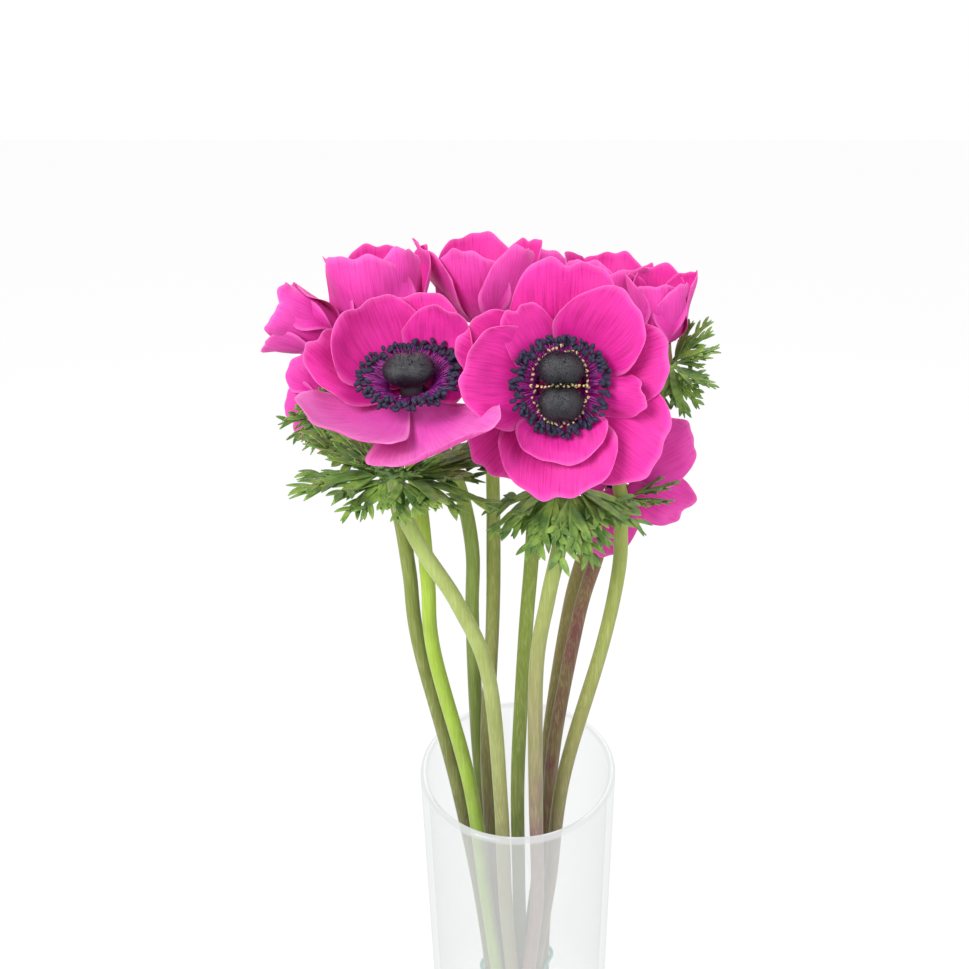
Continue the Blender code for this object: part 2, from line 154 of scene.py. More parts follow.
# How far out the stamens of those flowers reach
CENTRE_RADIUS = {"upper_left": 6, "far_left": 4, "low_left": 6, "centre_back": 9, "back": 10, "right_back": 8,
                 "far_right": 4, "low_right": 7}

# name: (domes of the seed head, how many stamens, how far out they reach)
# Each dome: (radius, width against depth, lowest, highest, depth of its cleft, place across the flower)
OPEN_CENTRES = {
    "front_right": ([(6.6, 1.24, RECEPTACLE_TOP + 1.5, RECEPTACLE_TOP + 12, 0.14, (0, 6.0)),
                     (6.8, 1.18, RECEPTACLE_TOP + 1.5, RECEPTACLE_TOP + 12.4, 0.14, (0, -6.1))], 230, 17.8),
    "front_left": ([(7.8, 1.2, RECEPTACLE_TOP + 1.5, RECEPTACLE_TOP + 12.8, 0.22, (0, 0))], 230, 18.8),
}

# A bract's segments: (turn in degrees, share of the bract's length)
SEGMENTS = ((-42, 0.74), (-20, 0.88), (0, 1.0), (20, 0.88), (42, 0.74))
# Each segment's lobes: (place along the segment, share of its length, lean in degrees)
LOBES = ((0.4, 0.34, 38), (0.56, 0.36, -36), (0.7, 0.3, 30), (0.78, 0.26, -28))

# name: (place in metres, width in metres, watts)
LAMPS = {"key": ((-0.7, -0.9, 1.25), 0.6, 22), "fill": ((0.9, -0.6, 0.9), 0.9, 5),
         "back": ((0.1, 0.9, 1.1), 0.9, 8)}
LAMP_TARGET = (0, 0, 0.38)
CAMERA_PLACE, CAMERA_PITCH = (0.0065, -0.350, 0.530), 90 - 25.9
CAMERA_SENSOR, CAMERA_LENS, CAMERA_SHIFT = 36, 33.1, -0.0476
FLOOR_REACH = 6  # from the middle of the floor to each side, in metres
FLOOR_WHITE = 0.93  # how much of the floor's look is plain white; the rest takes the shadow
SKY_LIGHT = 0.8  # how strongly the world lights the object


# ---------------------------------------------------------------- materials

VEINS_ACROSS, VEINS_ALONG = 78, 2.4  # how many veins lie side by side on a tepal, and follow each other
STALK_FOOT_TONE, STALK_TOP_TONE = 0.16, 0.37  # heights in metres between which a stalk's colour changes


def linear(hex_color):
    """An sRGB hex colour as linear RGBA."""
    parts = [int(hex_color[i:i + 2], 16) / 255 for i in (1, 3, 5)]
    return [c / 12.92 if c <= 0.04045 else ((c + 0.055) / 1.055) ** 2.4 for c in parts] + [1]


def add_node(tree, kind, inputs=None, **settings):
    """A node of this kind; each input is a value or the socket that feeds it."""
    node = tree.nodes.new(kind)
    for name, value in settings.items():
        setattr(node, name, value)
    for name, value in (inputs or {}).items():
        if isinstance(value, bpy.types.NodeSocket):
            tree.links.new(value, node.inputs[name])
        else:
            node.inputs[name].default_value = value
    return node


def new_material(name):
    """An empty node material with its output: (material, tree, output)."""
    made = bpy.data.materials.new(name)
    made.use_nodes = True
    made.node_tree.nodes.clear()
    return made, made.node_tree, add_node(made.node_tree, "ShaderNodeOutputMaterial")


def mix_color(tree, share, first, second):
    """The first colour where share is 0 and the second where it is 1."""
    return add_node(tree, "ShaderNodeMix", {0: share, 6: first, 7: second}, data_type="RGBA").outputs[2]


def per_metre(size):
    """How often a pattern of this size in millimetres comes in a metre, which is its texture scale."""
    return 1000 / size


def ramp(tree, value, stops):
    """A colour ramp of (position, colour) stops, with colours as grey numbers or hex."""
    node = add_node(tree, "ShaderNodeValToRGB", {"Fac": value})
    while len(node.color_ramp.elements) < len(stops):
        node.color_ramp.elements.new(0.5)
    for element, (position, color) in zip(node.color_ramp.elements, stops):
        element.position = position
        element.color = linear(color) if isinstance(color, str) else (color, color, color, 1)
    return node.outputs["Color"]


def tepal_material(name, deep, mid, pale, rim):
    """Satin petal tissue, so thin that light shines through. Veins run along it, and its colour is deeper
    at its base and paler at its rim. The veins are counted across the tepal, which leaves them about 0.45 mm
    apart on one of middling width."""
    made, tree, output = new_material(name)
    place = add_node(tree, "ShaderNodeUVMap", uv_map="tepal").outputs["UV"]
    split = add_node(tree, "ShaderNodeSeparateXYZ", {"Vector": place})
    stretch = add_node(tree, "ShaderNodeMapping", {
        "Vector": place, "Scale": (VEINS_ACROSS, VEINS_ALONG, 1)}).outputs["Vector"]
    veins = add_node(tree, "ShaderNodeTexNoise", {"Vector": stretch, "Scale": 1, "Detail": 4}).outputs["Fac"]
    spot = add_node(tree, "ShaderNodeTexCoord").outputs["Object"]
    cloud = add_node(tree, "ShaderNodeTexNoise", {
        "Vector": spot, "Scale": per_metre(14.3), "Detail": 3}).outputs["Fac"]
    grain = add_node(tree, "ShaderNodeTexNoise", {
        "Vector": spot, "Scale": per_metre(0.714), "Detail": 2}).outputs["Fac"]
    along = ramp(tree, split.outputs["Y"], [(0, deep), (0.4, mid), (1, pale)])
    veined = mix_color(tree, ramp(tree, veins, [(0.42, 0.0), (0.7, 0.6)]), along, linear(deep))
    clouded = mix_color(tree, ramp(tree, cloud, [(0.4, 0.0), (0.75, 0.4)]), veined, linear(pale))
    # 0 on the tepal's middle line and 1 on its margin
    edge = add_node(tree, "ShaderNodeMath", {0: split.outputs["X"], 1: 0.5}, operation="SUBTRACT").outputs[0]
    edge = add_node(tree, "ShaderNodeMath", {0: edge}, operation="ABSOLUTE").outputs[0]
    edge = add_node(tree, "ShaderNodeMath", {0: edge, 1: 2.0}, operation="MULTIPLY").outputs[0]
    edge = add_node(tree, "ShaderNodeMath", {0: edge, 1: split.outputs["Y"]}, operation="MAXIMUM").outputs[0]
    color = mix_color(tree, ramp(tree, edge, [(0.93, 0.0), (1.0, 0.4)]), clouded, linear(rim))
    height = add_node(tree, "ShaderNodeMath", {0: veins, 1: grain}, operation="ADD").outputs[0]
    bump = add_node(tree, "ShaderNodeBump", {
        "Height": height, "Strength": 0.35, "Distance": 0.4 * MM}).outputs[0]
    surface = add_node(tree, "ShaderNodeBsdfPrincipled", {
        "Base Color": color, "Roughness": 0.55, "Normal": bump, "Sheen Weight": 0.1, "Sheen Roughness": 0.4,
        "Specular IOR Level": 0.25})
    through = add_node(tree, "ShaderNodeBsdfTranslucent", {"Color": color, "Normal": bump})
    mixed = add_node(tree, "ShaderNodeMixShader", {0: 0.3, 1: surface.outputs[0], 2: through.outputs[0]})
    tree.links.new(mixed.outputs[0], output.inputs["Surface"])
    return made


def stem_material(name, top, foot):
    """A fresh stalk: coloured along its height and ribbed lengthwise. The ribs are drawn 0.67 mm apart, which
    is coarser than real ones, so that they show. The sheen of its pale down is painted: a pale colour mixed
    in where the stalk is seen edge on."""
    made, tree, output = new_material(name)
    spot = add_node(tree, "ShaderNodeTexCoord").outputs["Object"]
    height = add_node(tree, "ShaderNodeSeparateXYZ", {"Vector": spot}).outputs["Z"]
    share = add_node(tree, "ShaderNodeMapRange", {
        0: height, 1: STALK_FOOT_TONE, 2: STALK_TOP_TONE}).outputs[0]
    long = add_node(tree, "ShaderNodeMapping", {
        "Vector": spot, "Scale": (per_metre(0.667), per_metre(0.667), per_metre(16.7))}).outputs["Vector"]
    ribs = add_node(tree, "ShaderNodeTexNoise", {"Vector": long, "Scale": 1, "Detail": 3}).outputs["Fac"]
    cloud = add_node(tree, "ShaderNodeTexNoise", {
        "Vector": spot, "Scale": per_metre(16.7), "Detail": 3}).outputs["Fac"]
    base = mix_color(tree, share, linear(foot), linear(top))
    base = mix_color(tree, ramp(tree, cloud, [(0.35, 0.0), (0.7, 0.4)]), base, linear("#6f7a32"))
    base = mix_color(tree, ramp(tree, ribs, [(0.45, 0.0), (0.8, 0.22)]), base, linear("#cfd69a"))
    bump = add_node(tree, "ShaderNodeBump", {
        "Height": ribs, "Strength": 0.5, "Distance": 0.5 * MM}).outputs[0]
    surface = add_node(tree, "ShaderNodeBsdfPrincipled", {
        "Base Color": base, "Roughness": 0.6, "Normal": bump, "Sheen Weight": 0.12,
        "Specular IOR Level": 0.3})
    # painted sheen: a pale colour for the down, mixed in where the stalk is seen edge on
    painted_edge_sheen = add_node(tree, "ShaderNodeBsdfDiffuse", {"Color": linear("#d3d9ae"), "Normal": bump})
    edge = add_node(tree, "ShaderNodeLayerWeight", {"Blend": 0.35}).outputs["Facing"]
    mixed = add_node(tree, "ShaderNodeMixShader", {
        0: ramp(tree, edge, [(0.6, 0.0), (1.0, 0.5)]), 1: surface.outputs[0], 2: painted_edge_sheen.outputs[0]})
    tree.links.new(mixed.outputs[0], output.inputs["Surface"])
    return made


def mottled_material(name, color, dark, mottle, roughness, bump=0.4, sheen=0.0, through=0.0):
    """A surface of two tones in patches of about mottle millimetres, with a grain a sixth of that. A share of
    the light, given by through, passes it."""
    made, tree, output = new_material(name)
    spot = add_node(tree, "ShaderNodeTexCoord").outputs["Object"]
    cloud = add_node(tree, "ShaderNodeTexNoise", {
        "Vector": spot, "Scale": per_metre(mottle), "Detail": 4}).outputs["Fac"]
    grain = add_node(tree, "ShaderNodeTexNoise", {
        "Vector": spot, "Scale": per_metre(mottle / 6), "Detail": 2}).outputs["Fac"]
    tone = mix_color(tree, ramp(tree, cloud, [(0.32, 0.0), (0.68, 1.0)]), linear(dark), linear(color))
    normal = add_node(tree, "ShaderNodeBump", {
        "Height": grain, "Strength": bump, "Distance": 0.4 * MM}).outputs[0]
    surface = add_node(tree, "ShaderNodeBsdfPrincipled", {
        "Base Color": tone, "Roughness": roughness, "Normal": normal, "Sheen Weight": sheen})
    shader = surface.outputs[0]
    if through:
        lit = add_node(tree, "ShaderNodeBsdfTranslucent", {"Color": tone})
        shader = add_node(tree, "ShaderNodeMixShader", {0: through, 1: shader, 2: lit.outputs[0]}).outputs[0]
    tree.links.new(shader, output.inputs["Surface"])
    return made


def glass_material():
    """Clear soda-lime glass with a smooth fired rim. It shows what is behind it under a painted glow, faint
    white light of its own that stands for the glass's pale haze. The glow is stronger at the rim, and
    stronger and greyer where the wall is seen edge on. A sharp gloss grows there too."""
    made, tree, output = new_material("clear_soda_lime_glass")
    spot = add_node(tree, "ShaderNodeTexCoord").outputs["Object"]
    # noise that makes the painted glow patchy
    glow_noise = add_node(tree, "ShaderNodeTexNoise", {
        "Vector": spot, "Scale": per_metre(33.3), "Detail": 2}).outputs["Fac"]
    glow_share = add_node(tree, "ShaderNodeMapRange", {0: glow_noise, 3: 0.24, 4: 0.3})
    height = add_node(tree, "ShaderNodeSeparateXYZ", {"Vector": spot}).outputs["Z"]
    # the painted glow is stronger near the rim
    rim = add_node(tree, "ShaderNodeMapRange", {
        0: height, 1: (VASE_HEIGHT - 2.8) * MM, 2: (VASE_HEIGHT - 1.2) * MM, 3: 0.0, 4: 0.5}).outputs[0]
    edge = add_node(tree, "ShaderNodeLayerWeight", {"Blend": 0.2}).outputs["Facing"]
    glow_share = add_node(tree, "ShaderNodeMath", {0: glow_share.outputs[0], 1: rim}, operation="ADD").outputs[0]
    # the painted glow also grows where the wall is seen edge on
    glow_share = add_node(tree, "ShaderNodeMath", {0: glow_share, 1: ramp(tree, edge, [(0.7, 0.0), (1.0, 0.5)])},
                    operation="ADD").outputs[0]
    # the painted glow is white, and greyer at the rim and where the wall is seen edge on
    tone = ramp(tree, add_node(tree, "ShaderNodeMath", {0: rim, 1: edge}, operation="MAXIMUM").outputs[0],
                [(0.0, "#ffffff"), (0.5, "#e9ebeb"), (1.0, "#bfc4c3")])
    clear = add_node(tree, "ShaderNodeBsdfTransparent", {"Color": (0.985, 0.99, 0.988, 1)})
    # painted glow: the glass gives off white light of its own
    white = add_node(tree, "ShaderNodeEmission", {"Color": tone, "Strength": 0.97})
    gloss = add_node(tree, "ShaderNodeBsdfGlossy", {"Color": (0.9, 0.9, 0.9, 1), "Roughness": 0.03})
    glint = ramp(tree, edge, [(0.0, 0.015), (1.0, 0.3)])
    body = add_node(tree, "ShaderNodeMixShader", {0: glow_share, 1: clear.outputs[0], 2: white.outputs[0]})
    mixed = add_node(tree, "ShaderNodeMixShader", {0: glint, 1: body.outputs[0], 2: gloss.outputs[0]})
    tree.links.new(mixed.outputs[0], output.inputs["Surface"])
    return made


# Petal tissue, grown thin and smooth: a satin magenta that glows where light comes through
TEPAL_FACE = tepal_material("satin_petal_face", "#a00460", "#da1898", "#ea3cae", "#f57cca")
# The same tissue in a paler lilac
TEPAL_PALE = tepal_material("satin_petal_pale", "#cf3aa2", "#ea5cc2", "#f588d8", "#fcb4e8")
# The outside of a petal, a little paler than its face
TEPAL_BACK = tepal_material("satin_petal_back", "#bc127e", "#de2ca6", "#ee58c0", "#f690d6")
# Leaf tissue, thin and softly shining, in a light and a dark green
LEAF = mottled_material("divided_leaf", "#8db048", "#456f22", 6.25, 0.5, bump=0.5, sheen=0.2, through=0.2)
# Packed carpels, near black with a blue cast and a slight shine
SEED = mottled_material("packed_carpels", "#15161f", "#030308", 1.11, 0.36, bump=0.5)
# Fine hairs on them, a dark slate that catches the light
SEED_HAIR = mottled_material("silky_seed_hair", "#3a3c4c", "#0c0c16", 0.833, 0.5)
# Filaments, purple and smooth
FILAMENT = mottled_material("purple_filament", "#a0208c", "#4a1466", 2.5, 0.45)
# Anthers, blue-black and powdery with pollen, so without a shine
ANTHER = mottled_material("powdery_anther", "#26264a", "#0c0b1c", 1.11, 0.55, bump=0.8)
# Dried styles, cream and matte
CREAM = mottled_material("dried_style", "#d9c48a", "#9a8350", 1.67, 0.6)
# Moulded rubber, an even teal with a dull surface
RUBBER = mottled_material("moulded_teal_rubber", "#4cb39c", "#379883", 5, 0.55)
GLASS = glass_material()


# ---------------------------------------------------------------- shapes


class Shape:
    """Points in millimetres, with faces, a finish for each face and a place across and along the surface."""

    def __init__(self):
        self.points, self.faces, self.slots, self.places = [], [], [], []

    def grid(self, rows, slot=0, around=False):
        """A sheet from rows of points of equal length, joined round where around is set."""
        start, count = len(self.points), len(rows[0])
        for j, row in enumerate(rows):
            for i, point in enumerate(row):
                self.points.append(point)
                self.places.append((i / max(1, count - 1), j / max(1, len(rows) - 1)))
        for j in range(len(rows) - 1):
            for i in range(count if around else count - 1):
                here, there = start + j * count, start + (j + 1) * count
                n = (i + 1) % count
                self.faces.append((here + i, here + n, there + n, there + i))
                self.slots.append(slot)

    def tube(self, line, radii, sides, slot=0):
        """A round tube with closed ends along a line."""
        rows, side = [], None
        for i, (point, radius) in enumerate(zip(line, radii)):
            along = (line[min(i + 1, len(line) - 1)] - line[max(i - 1, 0)]).normalized()
            side = side or (UP if abs(along.z) < 0.9 else Vector((1, 0, 0)))
            side = (side - side.dot(along) * along).normalized()
            across = along.cross(side)
            rows.append([point + radius * (math.cos(math.tau * k / sides) * side
                                           + math.sin(math.tau * k / sides) * across) for k in range(sides)])
        rows = [[line[0]] * sides, *rows, [line[-1]] * sides]
        self.grid(rows, slot, around=True)

    def piece(self, name, finishes, slot, thickness=0.0, smooth=0):
        """The mesh object, riding on the body and standing for the CAD node of its name."""
        mesh = bpy.data.meshes.new(name)
        mesh.from_pydata([p * MM for p in self.points], [], self.faces)
        layer = mesh.uv_layers.new(name="tepal")
        for loop in mesh.loops:
            layer.data[loop.index].uv = self.places[loop.vertex_index]
        for finish in finishes:
            mesh.materials.append(finish)
        for face, number in zip(mesh.polygons, self.slots):
            face.material_index = number
        mesh.shade_smooth()
        made = bpy.data.objects.new("look_" + name, mesh)
        bpy.context.scene.collection.objects.link(made)
        if thickness:
            solid = made.modifiers.new("Thickness", "SOLIDIFY")
            solid.thickness = thickness * MM
            solid.offset = 0
            solid.material_offset = 1 if len(finishes) == 2 else 0
        if smooth:
            rounder = made.modifiers.new("Smooth", "SUBSURF")
            rounder.levels = rounder.render_levels = smooth
        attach(made, "root")
        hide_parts(name)


def smooth_route(points, steps):
    """Points along a Catmull-Rom curve through the given ones, closer together towards its end."""
    knots = [Vector(p) for p in points]
    knots = [2 * knots[0] - knots[1], *knots, 2 * knots[-1] - knots[-2]]
    fine = []
    for a, b, c, d in zip(knots, knots[1:], knots[2:], knots[3:]):
        for i in range(12):
            t = i / 12
            fine.append(0.5 * (2 * b + (c - a) * t + (2 * a - 5 * b + 4 * c - d) * t**2
                               + (3 * b - a - 3 * c + d) * t**3))
    fine.append(knots[-2])
    lengths = running_lengths(fine)
    shares = [1 - (1 - i / steps) ** 1.5 for i in range(steps + 1)]
    return [at_length(fine, lengths, lengths[-1] * share) for share in shares]


def at_length(points, lengths, wanted):
    """The point this far along a line whose running lengths are given."""
    for i in range(1, len(points)):
        if lengths[i] >= wanted:
            share = (wanted - lengths[i - 1]) / max(lengths[i] - lengths[i - 1], 1e-9)
            return points[i - 1].lerp(points[i], share)
    return points[-1].copy()


def running_lengths(points):
    """How far along the line each of its points lies."""
    lengths = [0]
    for a, b in zip(points, points[1:]):
        lengths.append(lengths[-1] + (b - a).length)
    return lengths


def stem_points(name, steps):
    """A stem's centre line from its cut end on the vase's floor to the flower."""
    route, end, facing = STEMS[name]
    x, y, _ = route[0]
    foot = Vector((x * FOOT_SPREAD, y * FOOT_SPREAD, FOOT_HEIGHT))
    end = Vector(end)
    straight = Vector(facing).normalized()
    return smooth_route([foot, *route, end - 9 * straight, end - 4 * straight, end], steps)


def stem_radius(share):
    """The stem tapers from its cut end, at 0, to its neck, at 1."""
    return STEM_RADIUS + (NECK_RADIUS - STEM_RADIUS) * share**2


def flower_frame(name):
    """The matrix from a flower's own axes to the vase's, in millimetres."""
    _, end, facing = STEMS[name]
    z = Vector(facing).normalized()
    x = UP.cross(z) if abs(z.z) < 0.98 else Vector((1, 0, 0))
    x = (x - x.dot(z) * z).normalized()
    if abs(z.z) > 0.85:  # a flower that faces up has its top away from the front
        x = (Vector((1, 0, 0)) - z.x * z).normalized()
    return Matrix.Translation(Vector(end)) @ Matrix((x, z.cross(x), z)).transposed().to_4x4()


def eased(share):
    """From 0 to 1 with a soft start and a soft end."""
    return share * share * (3 - 2 * share)


def arch(length, base, tip, steps=40):
    """The line of a tepal's middle as (way out, height, elevation) at even steps."""
    out, up, line = 0.0, 0.0, []
    for i in range(steps + 1):
        elevation = math.radians(base + (tip - base) * i / steps)
        line.append((out, up, elevation))
        out += length / steps * math.cos(elevation)
        up += length / steps * math.sin(elevation)
    return line


def add_tepal(shape, place, tepal, height, seed):
    """One tepal: its lines fan out from a narrow claw and end at a round, waved margin."""
    direction, length, width, base, tip, cup, ruffle = tepal
    turned = place @ Matrix.Rotation(math.radians(direction), 4, "Z")
    rng = random.Random(seed)
    phase, lean, notch = rng.uniform(0, 6), rng.uniform(0.03, 0.09), rng.uniform(0.0, 0.05)
    line, steps, across, rows = arch(length, base, tip), 20, 24, []
    for j in range(steps + 1):
        share, row = j / steps, []
        fan = 0.2 + 0.8 * math.sin(math.pi / 2 * min(1, share / 0.8)) ** 1.15
        for i in range(across + 1):
            u = 2 * i / across - 1
            reach = 0.5 + 0.5 * (1 - abs(u) ** 2.4) ** (1 / 2.0)
            reach += share * (0.025 * math.sin(5 * u + phase) + 0.012 * math.sin(13 * u + 2 * phase))
            reach -= share * notch * math.exp(-(u * 6) ** 2)
            along = min(1.04, share * reach)
            side = u * fan * width / 2
            nearest = min(len(line) - 1, round(along * (len(line) - 1)))
            out, up, elevation = line[nearest]
            rest = along - nearest / (len(line) - 1)
            wave = 0.6 * math.sin(phase + 9 * along + 4.2 * u)
            wave += 0.4 * math.sin(2.3 * phase + 17 * along - 7 * u)
            wobble = noise.noise(Vector((side * 0.08, along * 3, seed))) * 2.0
            lift = cup * side * side / width * eased(min(1, along * 1.6)) + lean * side
            lift += ruffle * wave * max(abs(u), along) ** 4 * share + wobble * along
            x = TEPAL_START + out + rest * length * math.cos(elevation) - lift * math.sin(elevation)
            z = height + up + rest * length * math.sin(elevation) + lift * math.cos(elevation)
            row.append(turned @ Vector((x, side, z)))
        rows.append(row)
    shape.grid(rows)


def build_tepals(name, whorls):
    """The separate tepals of an open flower. The two lowest of the front left one are paler."""
    place = flower_frame(name)
    for whorl, shapes in whorls.items():
        for number, shape_of in enumerate(shapes, 1):
            shape = Shape()
            add_tepal(shape, place, shape_of, WHORL_HEIGHT[whorl], len(name) * 31 + number * 7 + len(whorl))
            node = f"tepal_{name}_{whorl}_{number}"
            pale = name == "front_left" and whorl == "outer" and number > 3
            finishes = [TEPAL_BACK, TEPAL_PALE if pale else TEPAL_FACE]
            shape.piece(node, finishes, "tepal", thickness=0.3, smooth=1)


def build_corolla(name, shapes):
    """The tepals of a flower at the sides or back, as one piece."""
    shape, place = Shape(), flower_frame(name)
    for number, shape_of in enumerate(shapes):
        add_tepal(shape, place, shape_of, COROLLA_HEIGHTS[number % 2], len(name) * 17 + number * 5)
    shape.piece("corolla_" + name, [TEPAL_BACK, TEPAL_FACE], "tepal", thickness=0.35, smooth=1)


def add_dome(shape, place, radius, low, high, cleft, seed, width=1.0, shift=(0, 0), slot=0):
    """A domed head of carpels, pinched by a cleft across its middle."""
    rows, steps, around = [], 14, 36
    for j in range(steps + 1):
        tilt = math.pi * (j / steps) * 0.94 + 0.02
        row = []
        for i in range(around):
            a = math.tau * i / around
            r = radius * math.sin(tilt)
            pinch = 1 - cleft * math.exp(-(math.cos(a) / 0.3) ** 2) * math.sin(tilt)
            rough = 1 + 0.02 * noise.noise(Vector((math.cos(a) * 9, math.sin(a) * 9, tilt * 9 + seed)))
            z = (low + high) / 2 + (high - low) / 2 * math.cos(tilt) * rough
            z -= cleft * 4 * math.exp(-(math.cos(a) * math.sin(tilt) / 0.22) ** 2) * max(0, math.cos(tilt))
            row.append(place @ Vector((r * math.cos(a) * width * rough + shift[0],
                                       r * math.sin(a) * pinch * rough + shift[1], z)))
        rows.append(row)
    shape.grid([[rows[0][0]] * around, *rows, [rows[-1][0]] * around], slot, around=True)


def add_hairs(shape, place, count, radius, low, high, reach, seed, width, shift):
    """Short silky hairs standing on a dome, in the piece's second finish."""
    rng = random.Random(seed)
    for _ in range(count):
        z, a = rng.uniform(0.02, 1), rng.uniform(0, math.tau)
        flat = math.sqrt(1 - z * z)
        away = Vector((flat * math.cos(a), flat * math.sin(a), z))
        start = Vector((away.x * radius * width + shift[0], away.y * radius + shift[1],
                        (low + high) / 2 + away.z * (high - low) / 2))
        bend = Vector((rng.uniform(-1, 1), rng.uniform(-1, 1), rng.uniform(-1, 1))) * 0.35
        end = start + reach * (away + bend)
        middle = start.lerp(end, 0.5) + 0.2 * reach * away
        shape.tube([place @ (start - 0.3 * away), place @ middle, place @ end], [0.13, 0.1, 0.04], 3, 1)


def add_stamens(shape, place, count, start, reach, low, rise, seed):
    """Thin curved filaments, three rounds of them about the head, each with an anther at its end."""
    rng = random.Random(seed)
    for k in range(count):
        a = math.tau * (k + rng.uniform(-0.4, 0.4)) / count * 3
        length = rng.uniform(0.62, 1.0)
        spread = rng.uniform(-0.12, 0.12)
        base = Vector((start * math.cos(a), start * math.sin(a), low + rng.uniform(0, 0.6)))
        r = start + (reach - start) * length
        end = Vector((r * math.cos(a + spread), r * math.sin(a + spread),
                      low + rise * rng.uniform(0.55, 1.1)))
        middle = base.lerp(end, 0.55) + Vector((0, 0, rise * 0.18))
        shape.tube([place @ base, place @ base.lerp(middle, 0.5), place @ middle, place @ end],
                   [0.24, 0.2, 0.17, 0.15], 4, 0)
        along = Vector((math.cos(a), math.sin(a), rng.uniform(-0.5, 0.9))).normalized()
        turned = Matrix.Rotation(rng.uniform(-0.9, 0.9), 3, "Z") @ along
        size = rng.uniform(1.0, 1.35)
        line = [place @ (end + turned * size * t) for t in (-1.0, -0.75, 0, 0.75, 1.0)]
        shape.tube(line, [0.35 * size, 0.62 * size, 0.72 * size, 0.58 * size, 0.3 * size], 6, 1)


def build_open_centre(name, domes, count, reach):
    """The head of carpels with its silky hairs, and the ring of stamens round it. On a head of two domes,
    dried styles lie round them and in the line between them."""
    place, top = flower_frame(name), RECEPTACLE_TOP
    head = Shape()
    head.tube([place @ Vector((0, 0, z)) for z in (0.1, 1, 4, top + 3)], [4.9, 5, 4.6, 3.6], 24, 0)
    for number, (radius, width, low, high, cleft, shift) in enumerate(domes):
        add_dome(head, place, radius, low, high, cleft, number, width, shift)
        add_hairs(head, place, 260, radius, low, high, 0.55, number + 3, width, shift)
    if len(domes) > 1:
        rng, around, between = random.Random(8), 44, 14
        for k in range(around + between):
            a = math.tau * k / around
            r, z = 9.7 + rng.uniform(-0.5, 0.9), top + 5.6 + rng.uniform(-0.6, 1.2)
            spot = Vector((r * math.cos(a), 1.34 * r * math.sin(a), z))
            if k >= around:
                spot = Vector((9 - 1.3 * (k - around), rng.uniform(-0.6, 0.6), top + 8.4))
            line = [place @ (spot + 0.55 * Vector((rng.uniform(-1, 1), rng.uniform(-1, 1), 0.8 * t)))
                    for t in (-1, 0, 1, 2)]
            head.tube(line, [0.3, 0.42, 0.36, 0.22], 5, 2)
    head.piece("seed_head_" + name, [SEED, SEED_HAIR, CREAM], "seed_head")
    ring = Shape()
    add_stamens(ring, place, count, 8.0, reach, top + 0.6, 5.5, 5)
    ring.piece("stamens_" + name, [FILAMENT, ANTHER], "stamen")


def build_centre(name, radius):
    """A smaller head and its stamens in one piece, for a flower at the sides or back."""
    shape, place = Shape(), flower_frame(name)
    add_dome(shape, place, 0.5 * radius, 1.8, 1.8 + 1.0 * radius, 0.1, 2, slot=2)
    add_stamens(shape, place, 40, 0.45 * radius, radius * 0.95, 2.2, 0.5 * radius, 6)
    shape.piece("centre_" + name, [FILAMENT, ANTHER, SEED], "seed_head")


def add_leaflet(shape, start, along, up, length, width, droop):
    """A narrow pointed lobe of a leaf, folded a little along its midrib."""
    side, rows, steps, spot = along.cross(up).normalized(), [], 6, start
    heading = along.normalized()
    for j in range(steps + 1):
        share = j / steps
        half = width / 2 * (math.sin(math.pi * min(1, 0.16 + 0.84 * share)) ** 0.7 if share < 1 else 0.02)
        rows.append([spot + side * half * u + up * abs(u) * half * 0.35 for u in (-1, -0.5, 0, 0.5, 1)])
        heading = (heading - up * droop / steps).normalized()
        spot = spot + heading * length / steps
    shape.grid(rows)


def add_bract(shape, origin, along, up, length, seed):
    """A deeply divided bract: five segments from a short stalk, each cut again into pointed lobes."""
    rng = random.Random(seed)
    side = along.cross(up).normalized()
    add_leaflet(shape, origin - 1.5 * along, along, up, length * 0.6, length * 0.13, 0.1)
    for turn, reach in SEGMENTS:
        angle = math.radians(turn + rng.uniform(-5, 5))
        heading = along * math.cos(angle) + side * math.sin(angle) + up * rng.uniform(-0.15, 0.2)
        heading = heading.normalized()
        stalk = origin + along * length * 0.1
        segment = length * reach * rng.uniform(0.86, 1.0) - length * 0.1
        add_leaflet(shape, stalk, heading, up, segment, length * 0.13, rng.uniform(0.0, 0.35))
        across = heading.cross(up).normalized()
        for share, lobe, lean in LOBES:
            tilt = math.radians(lean + rng.uniform(-7, 7))
            away = heading * math.cos(tilt) + across * math.sin(tilt) + up * rng.uniform(-0.1, 0.25)
            away = away.normalized()
            spot = stalk + heading * segment * share - up * segment * 0.06
            add_leaflet(shape, spot, away, up, segment * lobe * rng.uniform(0.85, 1.15), length * 0.075,
                        rng.uniform(0, 0.4))


def build_collar(name):
    """The ring of divided bracts on a stem, below its flower."""
    back, bracts = COLLARS[name]
    line = stem_points(name, FINE_ROUTE)
    lengths = running_lengths(line)
    middle = at_length(line, lengths, lengths[-1] - back)
    along = (at_length(line, lengths, lengths[-1] - back + 2) - middle).normalized()
    x = (Vector((1, 0, 0)) - along.x * along).normalized()
    place = Matrix((x, along.cross(x), along)).transposed()
    shape = Shape()
    ring = [middle + place @ Vector((math.cos(a), math.sin(a), 0)) * COLLAR_RADIUS
            for a in (math.tau * k / 20 for k in range(21))]
    shape.tube(ring, [COLLAR_THICKNESS] * len(ring), 6)
    for number, (direction, rise, length) in enumerate(bracts):
        a, e = math.radians(direction), math.radians(rise)
        heading = place @ Vector((math.cos(a) * math.cos(e), math.sin(a) * math.cos(e), math.sin(e)))
        up = place @ Vector((-math.cos(a) * math.sin(e), -math.sin(a) * math.sin(e), math.cos(e)))
        flat = place @ Vector((math.cos(a), math.sin(a), 0))
        add_bract(shape, middle + 4 * flat, heading, up, length, len(name) * 13 + number)
    shape.piece("collar_" + name, [LEAF], "leaf", thickness=0.45)


